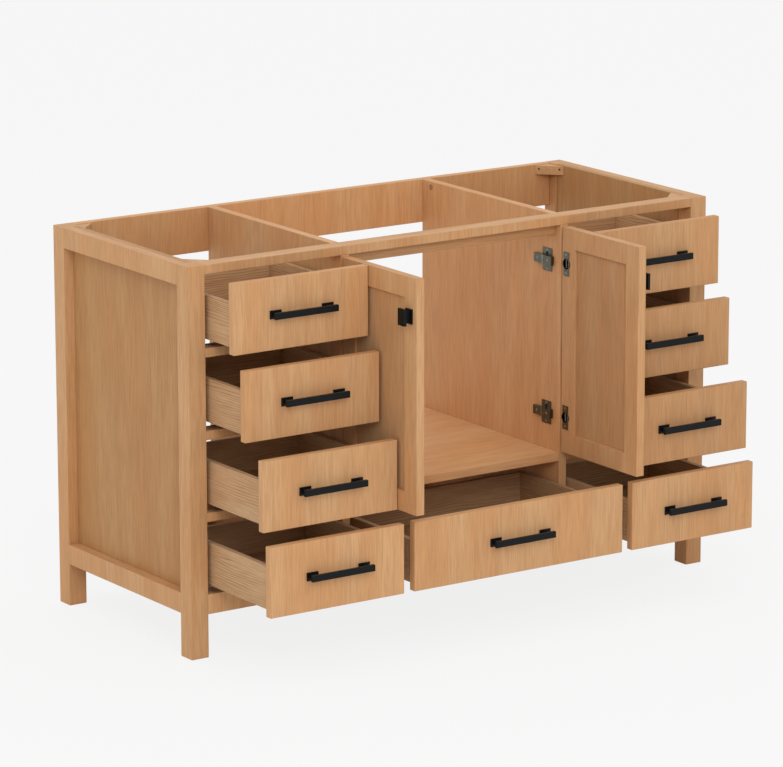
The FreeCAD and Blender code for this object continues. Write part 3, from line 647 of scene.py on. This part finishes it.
def add_head(mesh, place, look, radius, height, recess):
    """One head at a place, looking along X (1 for right, -1 for left)."""
    before = set(mesh.verts)
    foot, rim, top = (ring(mesh, radius * share, height * rise) for share, rise in HEAD_PROFILE)
    walls(mesh, foot, rim)
    walls(mesh, rim, top)
    mouth = cross(mesh, radius * MOUTH[0], radius * MOUTH[1], height)
    bed = cross(mesh, radius * BED[0], radius * BED[1], height - recess)
    top_edges = [edge for edge in mesh.edges if edge.verts[0] in top and edge.verts[1] in top]
    bmesh.ops.triangle_fill(mesh, edges=top_edges + loop_edges(mesh, mouth), use_beauty=True)
    walls(mesh, mouth, bed)
    mesh.faces.new(bed)
    turned = Matrix.Translation(place) @ Matrix.Rotation(look * SIDEWAYS, 4, "Y")
    bmesh.ops.transform(mesh, matrix=turned, verts=[vert for vert in mesh.verts if vert not in before])


def fit_piece(name, mesh, body, finish):
    """Turn finished points and faces into a piece that rides on a body."""
    bmesh.ops.recalc_face_normals(mesh, faces=mesh.faces)
    data = bpy.data.meshes.new(name)
    mesh.to_mesh(data)
    mesh.free()
    data.materials.append(finish)
    piece = bpy.data.objects.new(name, data)
    bpy.context.scene.collection.objects.link(piece)
    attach(piece, body)
    return piece


def heads(name, body, places, look, radius, height, recess, finish=bright):
    """A piece made of several equal heads, riding on one body."""
    mesh = bmesh.new()
    for place in places:
        add_head(mesh, place, look, radius, height, recess)
    fit_piece(name, mesh, body, finish)
    print(name, "has", len(places), "heads of", round(2000 * radius, 1), "mm")


# %% [markdown]
# A concealed hinge needs two screws in the cup's flange, above and below the cup, two in the wings of its
# plate, and two on the arm: one sets how far the door overlaps, the other clamps the arm. A wider one on the
# upper wing is an eccentric that sets the door's height. It is coated black, so the dark head also stands for
# the shade in the hole of the arm's open channel, which is painted shade. The places come from the boxes of
# the hinge pieces, so they follow the model if it changes.

# %% Screws of the four hinges
FLANGE_SCREW = 0.0205
PLATE_SCREW = 0.0210
ECCENTRIC = 0.0139
PLATE_MIDDLE = 0.025
PLATE_THICK = 0.002
ARM_SCREWS = ((0.013, 0.0105), (0.052, 0.0085))
FLANGE_HALF = 0.027
SUNK = 0.0001

for side, look in (("left", 1), ("right", -1)):
    cup_low, cup_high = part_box(f"door_{side}_hinge_cups")
    cup_y = (cup_low.y + cup_high.y) / 2
    cup_z = (cup_low.z + FLANGE_HALF, cup_high.z - FLANGE_HALF)
    face_x = cup_high.x if look > 0 else cup_low.x
    flange_places = [
        Vector((face_x - look * SUNK, cup_y, z + step))
        for z in cup_z for step in (-FLANGE_SCREW, FLANGE_SCREW)
    ]
    heads(f"door_{side}_cup_screws", f"door_{side}", flange_places, look, 0.0033, 0.0008, 0.0005)

    arm_low, arm_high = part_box("hinge_arms")
    board_x = arm_low.x if look > 0 else arm_high.x
    plate_face = board_x + look * (PLATE_THICK - SUNK)
    plate_places = [
        Vector((plate_face, arm_low.y + PLATE_MIDDLE, z + step))
        for z in cup_z for step in (-PLATE_SCREW, PLATE_SCREW)
    ]
    heads(f"{side}_hinge_plate_screws", "cabinet", plate_places, look, 0.0030, 0.0010, 0.0007)
    # The eccentric heads are coated black, which also paints the shade of the dark hole in the arm's open
    # channel.
    turn_places = [Vector((plate_face, arm_low.y + PLATE_MIDDLE, z + ECCENTRIC)) for z in cup_z]
    heads(f"{side}_hinge_eccentric_screws_painted_shade", "cabinet", turn_places, look, 0.0036, 0.0012, 0.0009, finish=black)
    arm_places = [
        Vector((board_x + look * (rise - SUNK), arm_low.y + back, z))
        for z in cup_z for back, rise in ARM_SCREWS
    ]
    heads(f"{side}_hinge_arm_screws", "cabinet", arm_places, look, 0.0031, 0.0009, 0.0006)

# %% [markdown]
# Cam locks pull the partitions against the back rails. Their faces sit flush in a bored hole near the top
# back corner of each partition, on the side of the middle compartment.

# %% Cam locks
CAM_BACK = 0.035
CAM_DROP = 0.013
PARTITION_FACE = 0.28
partition_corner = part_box("partitions")[1]
for side, look in (("left", 1), ("right", -1)):
    face_x = -look * PARTITION_FACE
    place = Vector((face_x - look * SUNK, partition_corner.y - CAM_BACK, partition_corner.z - CAM_DROP))
    heads(f"{side}_cam_lock", "cabinet", [place], look, 0.0068, 0.0006, 0.0004, finish=bronze)

# %% [markdown]
# Inside each cup two steel pins cross from wall to wall. The links of the hinge turn on them. They are
# short turned rods with a collar at each end, drawn as an outline that is spun round.

# %% Link pins in the cups
PIN_OUTLINE = (
    (0.0, 0.0), (0.0021, 0.0), (0.0021, 0.0012), (0.0015, 0.0014),
    (0.0015, 0.0166), (0.0021, 0.0168), (0.0021, 0.018), (0.0, 0.018),
)
PIN_HALF = 0.009
PIN_SPACING = 0.0042
PIN_DEPTH = 0.0042


def add_pin(mesh, place):
    """One upright pin with its middle at a place."""
    before = set(mesh.verts)
    outline = [mesh.verts.new((radius, 0, height - PIN_HALF)) for radius, height in PIN_OUTLINE]
    edges = [mesh.edges.new(pair) for pair in zip(outline, outline[1:])]
    bmesh.ops.spin(
        mesh, geom=outline + edges, cent=(0, 0, 0), axis=(0, 0, 1),
        angle=math.tau, steps=16, use_duplicate=False,
    )
    bmesh.ops.translate(mesh, verts=[vert for vert in mesh.verts if vert not in before], vec=place)


for side, look in (("left", 1), ("right", -1)):
    cup_low, cup_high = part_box(f"door_{side}_hinge_cups")
    cup_y = (cup_low.y + cup_high.y) / 2
    face_x = cup_high.x if look > 0 else cup_low.x
    mesh = bmesh.new()
    for z in (cup_low.z + FLANGE_HALF, cup_high.z - FLANGE_HALF):
        for step in (-PIN_SPACING, PIN_SPACING):
            add_pin(mesh, Vector((face_x - look * PIN_DEPTH, cup_y + step, z)))
    bmesh.ops.remove_doubles(mesh, verts=mesh.verts, dist=0.00001)
    pins = fit_piece(f"door_{side}_link_pins", mesh, f"door_{side}", bright)
    print(pins.name, "has", len(pins.data.polygons), "faces")

# %% [markdown]
# ## End

# %% Finish
print("cabinet dressed")
